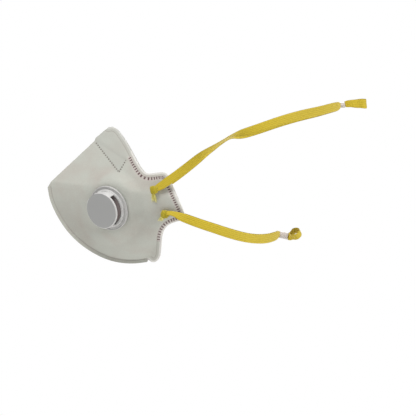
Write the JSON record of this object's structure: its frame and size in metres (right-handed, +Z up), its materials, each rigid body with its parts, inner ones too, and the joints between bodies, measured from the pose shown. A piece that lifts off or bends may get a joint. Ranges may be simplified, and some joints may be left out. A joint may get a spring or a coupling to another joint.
{
  "type": "disposable dust mask",
  "caption": "Vertical flat-fold dust mask of layered nonwoven with a round exhalation valve on one cheek, a nose clip and two elastic head straps with sliding tube adjusters.",
  "frame": {"origin": "centre of the face opening, on the plane of symmetry", "axes": "+Z up, -X the way the wearer looks, +X towards the back of the head, -Y the wearer's left where the valve sits"},
  "size_m": [0.2881, 0.1528, 0.1492],
  "materials": {
    "cover_nonwoven": "matt spunbonded nonwoven",
    "support_mesh": "open stiffening web",
    "filter_media": "soft electret felt",
    "lining_nonwoven": "soft matt nonwoven",
    "clip_metal": "bare soft strip",
    "pocket_nonwoven": "matt nonwoven",
    "nose_foam": "soft closed cell foam",
    "valve_plastic": "fine moulded matt",
    "retainer_plastic": "fine moulded matt",
    "flap_rubber": "smooth thin sheet",
    "clamp_plastic": "fine moulded matt",
    "valve_cap_plastic": "fine moulded matt",
    "strap_elastic": "ribbed woven elastic",
    "adjuster_plastic": "smooth moulded"
  },
  "bodies": {
    "mask": {"outer_cover": "cover_nonwoven", "support_layer": "support_mesh", "filter_layer": "filter_media", "inner_lining": "lining_nonwoven", "nose_clip": "clip_metal", "nose_pocket": "pocket_nonwoven", "nose_foam": "nose_foam", "valve_base": "valve_plastic", "valve_retainer": "retainer_plastic", "flap_clamp": "clamp_plastic", "valve_cover": "valve_cap_plastic"},
    "flap": {"valve_flap": "flap_rubber"},
    "upper_band": {"upper_strap": "strap_elastic", "upper_strap_loop": "strap_elastic", "upper_knot_left": "strap_elastic", "upper_knot_right": "strap_elastic"},
    "lower_band": {"lower_strap": "strap_elastic", "lower_strap_loop": "strap_elastic", "lower_knot_left": "strap_elastic", "lower_knot_right": "strap_elastic"},
    "upper_slider": {"upper_adjuster": "adjuster_plastic"},
    "lower_slider": {"lower_adjuster": "adjuster_plastic"}
  },
  "joints": [
    {"name": "flap_opens", "type": "hinge", "parent": "mask", "child": "flap", "pos_m": [-0.03392, -0.03704, -0.00865], "axis": [0, 0.3309, -0.9437], "range_deg": [0, 11], "stiffness_Nm_per_rad": 0.0008, "springref_deg": -6.88},
    {"name": "upper_band_lifts", "type": "hinge", "parent": "mask", "child": "upper_band", "pos_m": [0.0198, 0, 0.0058], "axis": [0, -1, 0], "range_deg": [-12, 60]},
    {"name": "lower_band_lifts", "type": "hinge", "parent": "mask", "child": "lower_band", "pos_m": [0.0296, 0, -0.016], "axis": [0, -1, 0], "range_deg": [-60, 10]},
    {"name": "upper_adjuster_slides", "type": "slide", "parent": "upper_band", "child": "upper_slider", "axis": [0.9996, 0, 0.03], "range_m": [0, 0.006], "deforming": ["upper_strap_loop"]},
    {"name": "lower_adjuster_slides", "type": "slide", "parent": "lower_band", "child": "lower_slider", "axis": [0.9774, 0, -0.2116], "range_m": [0, 0.004], "deforming": ["lower_strap_loop"]}
  ]
}
